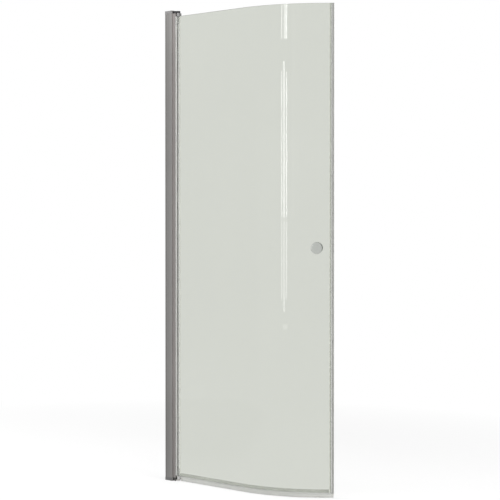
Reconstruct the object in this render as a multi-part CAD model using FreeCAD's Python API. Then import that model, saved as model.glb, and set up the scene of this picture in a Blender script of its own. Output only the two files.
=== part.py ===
import FreeCAD
import Part
import math
import os

from FreeCAD import Placement, Rotation, Vector

# One door of a round-corner shower, hinged on its wall profile.
# X runs out of the wall along the flat of the glass, +Y is the wet side, Z is up.
# The origin is on the wall, at the foot of the wall profile. Sizes are in millimetres.

# ---- Driving sizes of the door set ----
SET_HEIGHT = 1900.0
TRAY_SIDE = 900.0
TRAY_MARGIN = 15.0
BOW_RADIUS = 480.0
HALF_CORNER = 45.0
GLASS = 6.0
GLASS_ARRIS = 0.7

# ---- Fits ----
BOND = 0.05
LOOSE = 0.1
WIPE_GAP = 0.3
PIN_FIT = 0.05

# ---- Allowances of the drawing: how far a cutter runs over, and how near counts as on a plane ----
OVER = 1.0
NEAR = 0.1

# ---- Glass line in plan: a straight out of the wall, then an arc ----
BOW_START = TRAY_SIDE - TRAY_MARGIN - BOW_RADIUS
GLASS_HALF = GLASS / 2
CLOSING_ALLOWANCE = 10.0
GLASS_END = HALF_CORNER - math.degrees(CLOSING_ALLOWANCE / BOW_RADIUS)

# ---- Heights ----
GLASS_FOOT = 21.0
GLASS_TOP = 1876.0
JAMB_FOOT = 14.0
JAMB_TOP = 1888.0
CAP_PLATE = 2.5
CAP_SKIRT = 12.0

# ---- Wall channel, an open U fixed to the wall ----
CHANNEL_DEPTH = 38.0
CHANNEL_HALF = 14.0
CHANNEL_WALL = 1.8
CHANNEL_ROUND = 0.6
CHANNEL_INSIDE = CHANNEL_HALF - CHANNEL_WALL
WALL_SCREW_R = 2.6
WALL_SCREW_HEIGHTS = (100.0, 666.0, 1234.0, 1800.0)
CAP_SIDE = 1.0
CAP_ROUND = 1.2

# ---- Gaskets in the mouth of the channel ----
GASKET_DEPTH = 4.0
GASKET_GROOVE = 0.8
GASKET_KEY_SET = 1.0
GASKET_KEY_LENGTH = 2.0
GASKET_BACK = CHANNEL_DEPTH - GASKET_DEPTH
GASKET_KEY_FRONT = CHANNEL_DEPTH - GASKET_KEY_SET
GASKET_KEY_BACK = GASKET_KEY_FRONT - GASKET_KEY_LENGTH

# ---- Jamb, which slides in the channel to suit the wall ----
ADJUST = 7.5
JAMB_BACK = 17.0
JAMB_SHOWN = 15.0
JAMB_FRONT = CHANNEL_DEPTH + JAMB_SHOWN
JAMB_HALF = 9.6
JAMB_WALL = 1.6
JAMB_NOSE = 4.0
JAMB_ROUND = 0.8
JAMB_INSIDE = JAMB_HALF - JAMB_WALL
SLIDE_RIB = 8.0
SLIDE_RIB_END = JAMB_BACK + SLIDE_RIB
SLIDE_RIB_HALF = CHANNEL_INSIDE - WIPE_GAP
SEAL_KEY_DEPTH = 2.4
SEAL_KEY_NECK = 1.6
SEAL_KEY_HEAD = 3.0
SEAL_KEY_LIP = 1.2

# ---- Lock screws through the slots in the wet side of the channel ----
LOCK_SET = 4.0
LOCK_X = JAMB_BACK + LOCK_SET
LOCK_HEIGHTS = (250.0, 950.0, 1650.0)
LOCK_R = 2.0
LOCK_SLOT_R = 2.3
LOCK_WASHER_R = 6.0
LOCK_WASHER = 1.0
LOCK_HEAD_R = 3.8
LOCK_HEAD = 2.4
COVER_R = 10.5
COVER_DEPTH = 5.5
COVER_WALL = 1.2
COVER_BACK = CHANNEL_HALF + WIPE_GAP

# ---- Pivot line, its arms, pins, bushes and plate ----
PIVOT_SET = 8.0
PIVOT_X = JAMB_FRONT + PIVOT_SET
PIN_R = 3.0
PIN_CHAMFER = 0.6
PIN_PAST_GLASS = 7.0
BUSH_R = 4.5
BUSH_BODY = 11.0
BUSH_FLANGE_R = 6.5
BUSH_FLANGE = 1.0
ARM_R = 8.0
ARM_GAP = 0.5
TOP_ARM_UNDERSIDE = 1889.0
TOP_ARM_TOP = 1896.5
PLATE = 4.0
PLATE_BOTTOM = 3.0
PLATE_TOP = PLATE_BOTTOM + PLATE
PLATE_HALF = 7.0
PLATE_BACK = JAMB_BACK + 3.0
THRUST_WASHER_R = 7.0
THRUST_WASHER = 1.0
FLANGE_LOW = PLATE_TOP + THRUST_WASHER + WIPE_GAP
FLANGE_HIGH = TOP_ARM_UNDERSIDE - ARM_GAP
PLUG_LENGTH = 40.0
CHEEK_LENGTH = 6.0
CHEEK_FOOT = 0.5
BRACKET_SCREW_X = (JAMB_BACK + 15.0, JAMB_BACK + 27.0)
BRACKET_SCREW_R = 1.5
BRACKET_SCREW_HEAD_R = 3.0
BRACKET_SCREW_LENGTH = 8.0
PLATE_SCREW_X = (JAMB_BACK + 9.0, JAMB_BACK + 23.0)
PLATE_SCREW_R = 2.0
PLATE_SCREW_HEAD_R = 3.8
PLATE_SCREW_DEPTH = 12.0

# ---- Cross recess in the screw heads, as shares of the head radius ----
RECESS_REACH = 0.62
RECESS_WIDTH = 0.26
RECESS_DEPTH = 0.34

# ---- Hinge profile bonded along the edge of the glass, and its end fittings ----
TUBE_R = 6.0
TUBE_BORE = 4.0
GRIP_HALF = 4.3
GRIP_DEPTH = 4.0
GLASS_FROM_PIVOT = 7.0
GLASS_EDGE = PIVOT_X + GLASS_FROM_PIVOT
GRIP_END = GLASS_EDGE + GRIP_DEPTH
FITTING_HALF = 7.0
FITTING_ROUND = 1.5
SPIGOT_R = TUBE_BORE - BOND
SPIGOT_BORE = 3.4
SPIGOT_LENGTH = 30.0

# ---- Soft strip on the nose of the jamb ----
CUP_R = TUBE_R + WIPE_GAP
CUP_SEAL_TIP = JAMB_FRONT + 3.0
CUP_SEAL_EDGE = JAMB_FRONT + 0.8
CUP_SEAL_HALF = 9.0
CUP_SEAL_TIP_HALF = 4.0
CUP_SEAL_END_GAP = 0.5

# ---- Sweep seal under the door ----
SWEEP_WEB = 1.8
SWEEP_LEG_TOP = 33.5
SWEEP_LEG_HALF = 4.2
SWEEP_ARRIS = 0.5
SWEEP_START = GRIP_END + 0.4
SWEEP_UNDERSIDE = GLASS_FOOT - SWEEP_WEB
DRIP_NOSE = 2.2
DRIP_TIP_WIDTH = 0.7
DRIP_ROOT_WIDTH = 1.8
FIN_SKIN = 0.9
FIN_FOOT = 2.0
FIN_LINE = ((-1.0, 1.4, 14.6), (0.4, 1.2, 8.7), (2.8, 1.0, FIN_FOOT))

# ---- Closing edge ----
CLOSING_LEG = 8.5
CLOSING_BOND = 0.15
CARRIER_HALF = 5.0
CARRIER_WALL = 0.9
CARRIER_LENGTH = 8.2
CARRIER_ROUND = 1.0
CARRIER_OVERLAP = 0.2
MAGNET_DEPTH = 4.6
FIN_SHORT = 1.0
CLIP_END = GLASS_END - math.degrees((CLOSING_LEG + LOOSE) / BOW_RADIUS)
FIN_END = HALF_CORNER - math.degrees(FIN_SHORT / BOW_RADIUS)

# ---- Knob ----
KNOB_HEIGHT = 950.0
KNOB_FROM_CLOSING = 65.0
KNOB_ANGLE = HALF_CORNER - math.degrees(KNOB_FROM_CLOSING / BOW_RADIUS)
KNOB_R = 22.5
KNOB_NECK_R = 10.0
KNOB_NECK = 9.0
KNOB_HEAD = 15.0
KNOB_ROUND = 3.0
KNOB_WASHER_R = 11.5
KNOB_WASHER = 1.0
KNOB_HOLE_R = 6.0
KNOB_STUD_R = 4.0
KNOB_STUD_REACH = 15.0

UP = Vector(0, 0, 1)
FULL_TURN = 360


# ---- Shared shapes ----
def box(x0, x1, y0, y1, z0, z1):
    return Part.makeBox(x1 - x0, y1 - y0, z1 - z0, Vector(x0, y0, z0))


def rod(x, y, r, z0, z1):
    return Part.makeCylinder(r, z1 - z0, Vector(x, y, z0), UP)


def cross_rod(x, z, r, y0, y1):
    """A round bar along Y, from the dry side to the wet side."""
    return Part.makeCylinder(r, y1 - y0, Vector(x, y0, z), Vector(0, 1, 0))


def prism(points, z0, z1):
    """An upright bar whose plan outline is the given list of points."""
    corners = [Vector(x, y, z0) for x, y in points]
    face = Part.Face(Part.makePolygon(corners + corners[:1]))
    return face.extrude(UP * (z1 - z0))


def cross_recess(centre, inward, head_r):
    """The cross cut into a screw head, from its face centre along the inward direction."""
    reach, half, deep = head_r * RECESS_REACH, head_r * RECESS_WIDTH / 2, head_r * RECESS_DEPTH
    bar = box(-reach, reach, -half, half, -OVER, deep)
    cross = bar.fuse(box(-half, half, -reach, reach, -OVER, deep))
    cross.Placement = Placement(centre, Rotation(UP, inward))
    return cross


def both_sides(shape):
    """The shape and its mirror image across the plane of the straight glass."""
    return shape.fuse(shape.mirror(Vector(0, 0, 0), Vector(0, 1, 0)))


def upright_edges(shape, keep):
    """The vertical edges whose middle passes the keep test."""
    found = []
    for edge in shape.Edges:
        ends = [v.Point for v in edge.Vertexes]
        if len(ends) == 2 and ends[0].isEqual(Vector(ends[1].x, ends[1].y, ends[0].z), BOND):
            if keep(ends[0]):
                found.append(edge)
    return found


def line_point(angle, offset):
    """A point beside the bowed glass line, offset towards the wet side."""
    turn = math.radians(angle)
    reach = BOW_RADIUS - offset
    return Vector(BOW_START + reach * math.sin(turn), BOW_RADIUS - reach * math.cos(turn), 0)


def follow_line(start, end, near, far, z0, z1):
    """An upright wall that follows the glass line from X = start to the angle end."""
    middle = end / 2
    bow_near = Part.Arc(line_point(0, near), line_point(middle, near), line_point(end, near))
    bow_far = Part.Arc(line_point(end, far), line_point(middle, far), line_point(0, far))
    first = Part.LineSegment(Vector(start, near, 0), line_point(0, near))
    across = Part.LineSegment(line_point(end, near), line_point(end, far))
    last = Part.LineSegment(line_point(0, far), Vector(start, far, 0))
    back = Part.LineSegment(Vector(start, far, 0), Vector(start, near, 0))
    parts = (first, bow_near, across, bow_far, last, back)
    face = Part.Face(Part.Wire([piece.toShape() for piece in parts]))
    wall = face.extrude(UP * (z1 - z0))
    wall.translate(UP * z0)
    return wall


def sweep_section(section, start, end):
    """A strip whose section, in offset and height, follows the glass line."""
    corners = [Vector(start, offset, height) for offset, height in section]
    face = Part.Face(Part.makePolygon(corners + corners[:1]))
    straight = face.extrude(Vector(BOW_START - start, 0, 0))
    face.translate(Vector(BOW_START - start, 0, 0))
    bowed = face.revolve(Vector(BOW_START, BOW_RADIUS, 0), UP, end)
    return straight.fuse(bowed).removeSplitter()


def on_line(shape, angle):
    """Carries a shape drawn at the origin, X along the glass, to the bowed line."""
    moved = shape.copy()
    moved.Placement = Placement(line_point(angle, 0), Rotation(UP, angle))
    return moved


def turned(profile):
    """A body of revolution about the knob axis, from radius and offset pairs."""
    corners = [Vector(radius, offset, KNOB_HEIGHT) for radius, offset in profile]
    face = Part.Face(Part.makePolygon(corners + corners[:1]))
    return face.revolve(Vector(0, 0, KNOB_HEIGHT), Vector(0, 1, 0), FULL_TURN)


def save(name, shape):
    shape.exportStep(os.path.join("parts", name + ".step"))


# ---- Fixed to the wall ----
def lock_slot(height):
    """Round-ended slot through the wet flange, as long as the jamb can slide."""
    near, far = CHANNEL_INSIDE - OVER, CHANNEL_HALF + OVER
    slot = box(LOCK_X - ADJUST, LOCK_X + ADJUST, near, far, height - LOCK_SLOT_R, height + LOCK_SLOT_R)
    for side in (-ADJUST, ADJUST):
        slot = slot.fuse(cross_rod(LOCK_X + side, height, LOCK_SLOT_R, near, far))
    return slot.removeSplitter()


def wall_channel():
    """Web against the wall, and two flanges that the jamb slides between."""
    web = box(0, CHANNEL_WALL, -CHANNEL_HALF, CHANNEL_HALF, 0, SET_HEIGHT)
    flange = box(0, CHANNEL_DEPTH, CHANNEL_INSIDE, CHANNEL_HALF, CAP_PLATE, SET_HEIGHT - CAP_PLATE)
    groove = box(GASKET_KEY_BACK, GASKET_KEY_FRONT, CHANNEL_INSIDE, CHANNEL_INSIDE + GASKET_GROOVE,
                 CAP_PLATE, SET_HEIGHT - CAP_PLATE)
    channel = web.fuse(both_sides(flange.cut(groove)))
    for height in WALL_SCREW_HEIGHTS:
        hole = Part.makeCylinder(WALL_SCREW_R, CHANNEL_WALL, Vector(0, 0, height), Vector(1, 0, 0))
        channel = channel.cut(hole)
    for height in LOCK_HEIGHTS:
        channel = channel.cut(lock_slot(height))
    channel = channel.removeSplitter()
    mouth = upright_edges(channel, lambda p: p.x > CHANNEL_DEPTH - NEAR and abs(p.y) > CHANNEL_HALF - NEAR)
    return channel.makeFillet(CHANNEL_ROUND, mouth)


def channel_cap(plate_low, plate_high, skirt_low, skirt_high):
    """Closes one end of the channel, with a skirt outside each flange."""
    front = CHANNEL_DEPTH + CAP_SIDE
    outside = CHANNEL_HALF + CAP_SIDE
    plate = box(CHANNEL_WALL, front, -outside, outside, plate_low, plate_high)
    skirt = box(0, front, CHANNEL_HALF, outside, min(plate_low, skirt_low), max(plate_high, skirt_high))
    cap = plate.fuse(both_sides(skirt)).removeSplitter()
    corners = upright_edges(cap, lambda p: p.x > front - NEAR and abs(p.y) > outside - NEAR)
    return cap.makeFillet(CAP_ROUND, corners)


def mouth_gasket(side):
    """Soft strip keyed into the flange, which closes the gap to the jamb."""
    low, high = CAP_PLATE, SET_HEIGHT - CAP_PLATE
    lip = box(GASKET_BACK, CHANNEL_DEPTH, JAMB_HALF + WIPE_GAP, CHANNEL_INSIDE, low, high)
    key = box(GASKET_KEY_BACK, GASKET_KEY_FRONT, CHANNEL_INSIDE, CHANNEL_INSIDE + GASKET_GROOVE, low, high)
    strip = lip.fuse(key).removeSplitter()
    if side < 0:
        strip = strip.mirror(Vector(0, 0, 0), Vector(0, 1, 0))
    return strip


# ---- Jamb, which carries the pivots ----
def seal_key(low, high, grow):
    """The T that keys the cup seal into the nose of the jamb."""
    bottom = JAMB_FRONT - SEAL_KEY_DEPTH - grow
    neck_half, head_half = SEAL_KEY_NECK + grow, SEAL_KEY_HEAD + grow
    neck = box(bottom, JAMB_FRONT, -neck_half, neck_half, low, high)
    head = box(bottom, bottom + SEAL_KEY_LIP + 2 * grow, -head_half, head_half, low, high)
    return neck.fuse(head).removeSplitter()


def jamb_profile():
    """Hollow bar with slide ribs at its back and a keyed nose."""
    bar = box(JAMB_BACK, JAMB_FRONT, -JAMB_HALF, JAMB_HALF, JAMB_FOOT, JAMB_TOP)
    rib = box(JAMB_BACK, SLIDE_RIB_END, JAMB_HALF, SLIDE_RIB_HALF, JAMB_FOOT, JAMB_TOP)
    bar = bar.fuse(both_sides(rib))
    bar = bar.cut(box(JAMB_BACK + JAMB_WALL, JAMB_FRONT - JAMB_NOSE, -JAMB_INSIDE, JAMB_INSIDE,
                      JAMB_FOOT, JAMB_TOP))
    bar = bar.cut(seal_key(JAMB_FOOT, JAMB_TOP, 0)).removeSplitter()
    nose = upright_edges(bar, lambda p: p.x > JAMB_FRONT - NEAR and abs(p.y) > JAMB_HALF - NEAR)
    bar = bar.makeFillet(JAMB_ROUND, nose)
    for height in LOCK_HEIGHTS:
        bar = bar.cut(cross_rod(LOCK_X, height, LOCK_R, JAMB_INSIDE - OVER, SLIDE_RIB_HALF + OVER))
    return without_bracket_screws(bar)


def cup_seal():
    """Soft strip on the nose of the jamb, hollowed to the hinge tube."""
    low, high = GLASS_FOOT + CUP_SEAL_END_GAP, GLASS_TOP - CUP_SEAL_END_GAP
    outline = [(JAMB_FRONT, -CUP_SEAL_HALF), (CUP_SEAL_EDGE, -CUP_SEAL_HALF),
               (CUP_SEAL_TIP, -CUP_SEAL_TIP_HALF), (CUP_SEAL_TIP, CUP_SEAL_TIP_HALF),
               (CUP_SEAL_EDGE, CUP_SEAL_HALF), (JAMB_FRONT, CUP_SEAL_HALF)]
    strip = prism(outline, low, high).cut(rod(PIVOT_X, 0, CUP_R, low, high))
    return strip.fuse(seal_key(low, high, -LOOSE)).removeSplitter()


def jamb_plug(low, high):
    """Fills the hollow of the jamb at one end."""
    half = JAMB_INSIDE - LOOSE
    return box(JAMB_BACK + JAMB_WALL + LOOSE, JAMB_FRONT - JAMB_NOSE - LOOSE, -half, half, low, high)


def arm_outline(half, back, low, high):
    """A flat arm from the jamb to a round end about the pivot line."""
    arm = box(back, PIVOT_X, -half, half, low, high)
    return arm.fuse(rod(PIVOT_X, 0, half, low, high)).removeSplitter()


def top_bracket():
    """Black moulded arm over the door, plugged into the top of the jamb."""
    base = box(JAMB_BACK, JAMB_FRONT, -JAMB_HALF, JAMB_HALF, JAMB_TOP, TOP_ARM_TOP)
    arm = arm_outline(ARM_R, JAMB_FRONT - OVER, TOP_ARM_UNDERSIDE, TOP_ARM_TOP)
    bracket = base.fuse(arm).fuse(jamb_plug(JAMB_TOP - PLUG_LENGTH, JAMB_TOP))
    bracket = bracket.cut(rod(PIVOT_X, 0, PIN_R, TOP_ARM_UNDERSIDE, TOP_ARM_TOP)).removeSplitter()
    return without_bracket_screws(bracket)


def bottom_bracket():
    """Black moulded foot that closes the jamb and seats the hinge plate."""
    block = box(JAMB_BACK, JAMB_FRONT, -JAMB_HALF, JAMB_HALF, PLATE_TOP, JAMB_FOOT)
    cheek = box(JAMB_FRONT - CHEEK_LENGTH, JAMB_FRONT, PLATE_HALF + LOOSE, JAMB_HALF, CHEEK_FOOT, PLATE_TOP)
    foot = block.fuse(both_sides(cheek)).fuse(jamb_plug(JAMB_FOOT, JAMB_FOOT + PLUG_LENGTH))
    foot = without_bracket_screws(foot.removeSplitter())
    for x in PLATE_SCREW_X:
        foot = foot.cut(rod(x, 0, PLATE_SCREW_R, PLATE_TOP, PLATE_TOP + PLATE_SCREW_DEPTH))
    return foot


def bottom_hinge_plate():
    """Steel plate that carries the weight of the door on its pin."""
    plate = arm_outline(PLATE_HALF, PLATE_BACK, PLATE_BOTTOM, PLATE_TOP)
    plate = plate.cut(rod(PIVOT_X, 0, PIN_R, PLATE_BOTTOM, PLATE_TOP))
    for x in PLATE_SCREW_X:
        plate = plate.cut(plate_screw(x))
    return plate


def plate_screw(x):
    """Countersunk screw from below, flush with the plate."""
    sink = Part.makeCone(PLATE_SCREW_HEAD_R, PLATE_SCREW_R, PLATE_SCREW_HEAD_R - PLATE_SCREW_R,
                         Vector(x, 0, PLATE_BOTTOM), UP)
    shank = rod(x, 0, PLATE_SCREW_R, PLATE_BOTTOM, PLATE_TOP + PLATE_SCREW_DEPTH)
    return sink.fuse(shank).removeSplitter()


def plate_screws():
    """Two screws up through the plate into the foot."""
    screws = []
    for x in PLATE_SCREW_X:
        recess = cross_recess(Vector(x, 0, PLATE_BOTTOM), UP, PLATE_SCREW_HEAD_R)
        screws.append(plate_screw(x).cut(recess))
    return Part.makeCompound(screws)


def bracket_screw(x, height):
    """Countersunk screw from the wet side, flush with the wall of the jamb."""
    sink = Part.makeCone(BRACKET_SCREW_HEAD_R, BRACKET_SCREW_R, BRACKET_SCREW_HEAD_R - BRACKET_SCREW_R,
                         Vector(x, JAMB_HALF, height), Vector(0, -1, 0))
    shank = cross_rod(x, height, BRACKET_SCREW_R, JAMB_HALF - BRACKET_SCREW_LENGTH, JAMB_HALF)
    return sink.fuse(shank).removeSplitter()


def bracket_screw_places():
    """Position along the glass line and height of each screw: two into each plug."""
    heights = (JAMB_FOOT + PLUG_LENGTH / 2, JAMB_TOP - PLUG_LENGTH / 2)
    return [(x, height) for height in heights for x in BRACKET_SCREW_X]


def without_bracket_screws(shape):
    """Cuts the room for the bracket screws out of a shape."""
    for x, height in bracket_screw_places():
        shape = shape.cut(bracket_screw(x, height))
    return shape


def bracket_screws():
    """The screws through the jamb into the plugs of the two brackets."""
    screws = []
    for x, height in bracket_screw_places():
        recess = cross_recess(Vector(x, JAMB_HALF, height), Vector(0, -1, 0), BRACKET_SCREW_HEAD_R)
        screws.append(bracket_screw(x, height).cut(recess))
    return Part.makeCompound(screws)


def pivot_pin(low, high):
    """Plain steel pin with chamfered ends."""
    pin = rod(PIVOT_X, 0, PIN_R, low, high)
    return pin.makeChamfer(PIN_CHAMFER, [edge for edge in pin.Edges if edge.Closed])


def thrust_washer():
    """Thin ring on the plate, under the flange of the lower bush."""
    low, high = PLATE_TOP, PLATE_TOP + THRUST_WASHER
    return rod(PIVOT_X, 0, THRUST_WASHER_R, low, high).cut(rod(PIVOT_X, 0, PIN_R, low, high))


def outer_rim(disc, back):
    """The round edges of a disc along Y that lie in front of its back face."""
    return [edge for edge in disc.Edges if edge.Closed and edge.BoundBox.YMin > back + NEAR]


def lock_screws():
    """Pan-head screws that clamp the jamb to the slotted flange."""
    seat = COVER_BACK + LOCK_WASHER
    screws = []
    for height in LOCK_HEIGHTS:
        head = cross_rod(LOCK_X, height, LOCK_HEAD_R, seat, seat + LOCK_HEAD)
        head = head.makeFillet(LOCK_HEAD / 2, outer_rim(head, seat))
        shank = cross_rod(LOCK_X, height, LOCK_R, JAMB_INSIDE - OVER, seat)
        recess = cross_recess(Vector(LOCK_X, seat + LOCK_HEAD, height), Vector(0, -1, 0), LOCK_HEAD_R)
        screws.append(head.fuse(shank).cut(recess))
    return Part.makeCompound(screws)


def lock_washers():
    """Washers between the screw heads and the slotted flange."""
    low, high = COVER_BACK, COVER_BACK + LOCK_WASHER
    rings = []
    for height in LOCK_HEIGHTS:
        ring = cross_rod(LOCK_X, height, LOCK_WASHER_R, low, high)
        rings.append(ring.cut(cross_rod(LOCK_X, height, LOCK_R, low, high)))
    return Part.makeCompound(rings)


def screw_cover(height):
    """Round cover that clips over the rim of a lock washer."""
    low, high = COVER_BACK, COVER_BACK + COVER_DEPTH
    cover = cross_rod(LOCK_X, height, COVER_R, low, high)
    cover = cover.makeFillet(COVER_WALL, outer_rim(cover, low))
    inside = high - COVER_WALL
    cover = cover.cut(cross_rod(LOCK_X, height, COVER_R - COVER_WALL, low, inside))
    clip = cross_rod(LOCK_X, height, LOCK_WASHER_R + COVER_WALL, low, inside)
    clip = clip.cut(cross_rod(LOCK_X, height, LOCK_WASHER_R, low, inside))
    return cover.fuse(clip).removeSplitter()


def screw_covers():
    """One cover over each lock screw."""
    return Part.makeCompound([screw_cover(height) for height in LOCK_HEIGHTS])


# ---- Door leaf ----
def knob_bore(radius):
    """The round way through the glass for the knob stud."""
    bore = Part.makeCylinder(radius, GLASS * 2, Vector(0, -GLASS, KNOB_HEIGHT), Vector(0, 1, 0))
    return on_line(bore, KNOB_ANGLE)


def glass_pane():
    """Toughened pane, flat by the hinge and bowed to the closing edge."""
    pane = follow_line(GLASS_EDGE, GLASS_END, -GLASS_HALF, GLASS_HALF, GLASS_FOOT, GLASS_TOP)
    rim = [edge for edge in pane.Edges if edge.BoundBox.ZMin > GLASS_TOP - NEAR]
    pane = pane.makeChamfer(GLASS_ARRIS, rim)
    return pane.cut(knob_bore(KNOB_HOLE_R))


def hinge_profile():
    """Rigid clear tube with two legs that grip the edge of the glass."""
    low, high = GLASS_FOOT, GLASS_TOP
    grip = box(PIVOT_X, GRIP_END, -GRIP_HALF, GRIP_HALF, low, high)
    profile = rod(PIVOT_X, 0, TUBE_R, low, high).fuse(grip).removeSplitter()
    slot_half = GLASS_HALF + BOND
    slot = box(GLASS_EDGE - BOND, GRIP_END, -slot_half, slot_half, low, high)
    return profile.cut(slot).cut(rod(PIVOT_X, 0, TUBE_BORE, low, high))


def end_fitting(block_low, block_high, spigot_low, spigot_high, bush_low, bore_low, bore_high):
    """Cast block with a spigot up or down the hinge tube and a bored seat for the bush."""
    block = box(PIVOT_X, GRIP_END, -FITTING_HALF, FITTING_HALF, block_low, block_high)
    corners = upright_edges(block, lambda p: p.x > GRIP_END - NEAR)
    block = block.makeFillet(FITTING_ROUND, corners)
    block = block.fuse(rod(PIVOT_X, 0, FITTING_HALF, block_low, block_high))
    body = block.fuse(rod(PIVOT_X, 0, SPIGOT_R, spigot_low, spigot_high)).removeSplitter()
    body = body.cut(rod(PIVOT_X, 0, BUSH_R, bush_low, bush_low + BUSH_BODY))
    return body.cut(rod(PIVOT_X, 0, SPIGOT_BORE, bore_low, bore_high))


def top_end_fitting():
    seat = FLANGE_HIGH - BUSH_FLANGE
    return end_fitting(GLASS_TOP, seat, GLASS_TOP - SPIGOT_LENGTH, GLASS_TOP, seat - BUSH_BODY,
                       GLASS_TOP - PIN_PAST_GLASS - OVER, seat)


def bottom_end_fitting():
    seat = FLANGE_LOW + BUSH_FLANGE
    return end_fitting(seat, GLASS_FOOT, GLASS_FOOT, GLASS_FOOT + SPIGOT_LENGTH, seat,
                       seat, GLASS_FOOT + PIN_PAST_GLASS + OVER)


def pivot_bush(flange_low, body_low):
    """Flanged acetal bush that runs on the pin."""
    body = rod(PIVOT_X, 0, BUSH_R, body_low, body_low + BUSH_BODY)
    flange = rod(PIVOT_X, 0, BUSH_FLANGE_R, flange_low, flange_low + BUSH_FLANGE)
    low = min(flange_low, body_low)
    bore = rod(PIVOT_X, 0, PIN_R + PIN_FIT, low, low + BUSH_BODY + BUSH_FLANGE)
    return body.fuse(flange).cut(bore).removeSplitter()


def top_bush():
    seat = FLANGE_HIGH - BUSH_FLANGE
    return pivot_bush(seat, seat - BUSH_BODY)


def bottom_bush():
    return pivot_bush(FLANGE_LOW, FLANGE_LOW + BUSH_FLANGE)


def sweep_clip():
    """Rigid channel pushed onto the bottom edge of the glass."""
    inner, outer = GLASS_HALF + BOND, SWEEP_LEG_HALF
    half = [(outer, SWEEP_UNDERSIDE), (outer, SWEEP_LEG_TOP - SWEEP_ARRIS),
            (outer - SWEEP_ARRIS, SWEEP_LEG_TOP), (inner, SWEEP_LEG_TOP), (inner, GLASS_FOOT)]
    section = half + [(-offset, height) for offset, height in reversed(half)]
    return sweep_section(section, SWEEP_START, CLIP_END)


def drip_fin():
    """Soft fin under the clip, leaning to the wet side, with a drip nose outside.

    FIN_LINE gives the offset of its dry face, its thickness and the height, going down.
    """
    top = SWEEP_UNDERSIDE
    edge, nose, skin = -SWEEP_LEG_HALF, top - DRIP_NOSE, top - FIN_SKIN
    root, thickness = FIN_LINE[0][:2]
    drip = [(edge, top), (edge, nose), (edge + DRIP_TIP_WIDTH, nose), (edge + DRIP_ROOT_WIDTH, skin)]
    dry_face = [(root, skin)] + [(offset, height) for offset, width, height in FIN_LINE]
    wet_face = [(offset + width, height) for offset, width, height in reversed(FIN_LINE)]
    section = drip + dry_face + wet_face + [(root + thickness, top)]
    return sweep_section(section, SWEEP_START, FIN_END)


def closing_clip():
    """Clear channel on the closing edge, with a hollow for the magnet."""
    low, high = SWEEP_UNDERSIDE, GLASS_TOP
    half = GLASS_HALF + CLOSING_BOND
    grip_end = CLOSING_ALLOWANCE - CARRIER_LENGTH + CARRIER_OVERLAP
    grip = box(-CLOSING_LEG, grip_end, -GRIP_HALF, GRIP_HALF, low, high)
    grip = grip.cut(box(-CLOSING_LEG, BOND, -half, half, low, high))
    carrier = box(-CARRIER_LENGTH, 0, -CARRIER_HALF, CARRIER_HALF, low, high)
    inside = CARRIER_HALF - CARRIER_WALL
    carrier = carrier.cut(box(CARRIER_WALL - CARRIER_LENGTH, -CARRIER_WALL, -inside, inside, low, high))
    carrier = carrier.makeFillet(CARRIER_ROUND, upright_edges(carrier, carrier_corner))
    return on_line(grip, GLASS_END).fuse(on_line(carrier, HALF_CORNER)).removeSplitter()


def carrier_corner(point):
    """True at the outer corners of the closing face."""
    return abs(point.x) < NEAR and abs(point.y) > CARRIER_HALF - NEAR


def magnet_strip():
    """Magnetic strip against the closing face, inside its hollow."""
    half = CARRIER_HALF - CARRIER_WALL - LOOSE
    strip = box(-CARRIER_WALL - MAGNET_DEPTH, -CARRIER_WALL, -half, half, SWEEP_UNDERSIDE, GLASS_TOP)
    return on_line(strip, HALF_CORNER)


def knob(side):
    """Turned knob with a blind hole for the stud; side is -1 on the dry face, +1 on the wet face."""
    foot = GLASS_HALF + KNOB_WASHER
    shoulder = foot + KNOB_NECK
    face = shoulder + KNOB_HEAD
    flare, bevel = KNOB_ROUND, KNOB_ROUND / 2
    profile = [(KNOB_STUD_R, foot), (KNOB_NECK_R, foot), (KNOB_NECK_R, shoulder - flare),
               (KNOB_NECK_R + flare, shoulder), (KNOB_R - bevel, shoulder), (KNOB_R, shoulder + bevel),
               (KNOB_R, face), (0, face), (0, KNOB_STUD_REACH), (KNOB_STUD_R, KNOB_STUD_REACH)]
    body = turned([(radius, side * offset) for radius, offset in profile])
    rim = [edge for edge in body.Edges if edge.Closed and is_face_rim(edge, side * face)]
    return on_line(body.makeFillet(KNOB_ROUND, rim), KNOB_ANGLE)


def is_face_rim(edge, offset):
    """True for the large circle round the front face of a knob."""
    bounds = edge.BoundBox
    level = abs(bounds.YMin - offset) < NEAR and abs(bounds.YMax - offset) < NEAR
    return level and bounds.XLength > 2 * KNOB_R - OVER


def knob_washer(side):
    """Soft washer, pressed to the bow of the glass."""
    near, far = GLASS_HALF, GLASS_HALF + KNOB_WASHER
    inner, outer = KNOB_STUD_R + LOOSE, KNOB_WASHER_R
    profile = [(inner, side * near), (outer, side * near), (outer, side * far), (inner, side * far)]
    return on_line(turned(profile), KNOB_ANGLE).cut(glass_pane())


def knob_sleeve():
    """Soft sleeve that keeps the stud off the glass."""
    inner, outer = KNOB_STUD_R + LOOSE, KNOB_HOLE_R - LOOSE
    profile = [(inner, -GLASS_HALF), (outer, -GLASS_HALF), (outer, GLASS_HALF), (inner, GLASS_HALF)]
    return on_line(turned(profile), KNOB_ANGLE)


def knob_stud():
    """Threaded stud through the glass, which draws the two knobs together."""
    reach = KNOB_STUD_REACH - LOOSE
    stud = Part.makeCylinder(KNOB_STUD_R - BOND, 2 * reach, Vector(0, -reach, KNOB_HEIGHT), Vector(0, 1, 0))
    return on_line(stud, KNOB_ANGLE)


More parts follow.
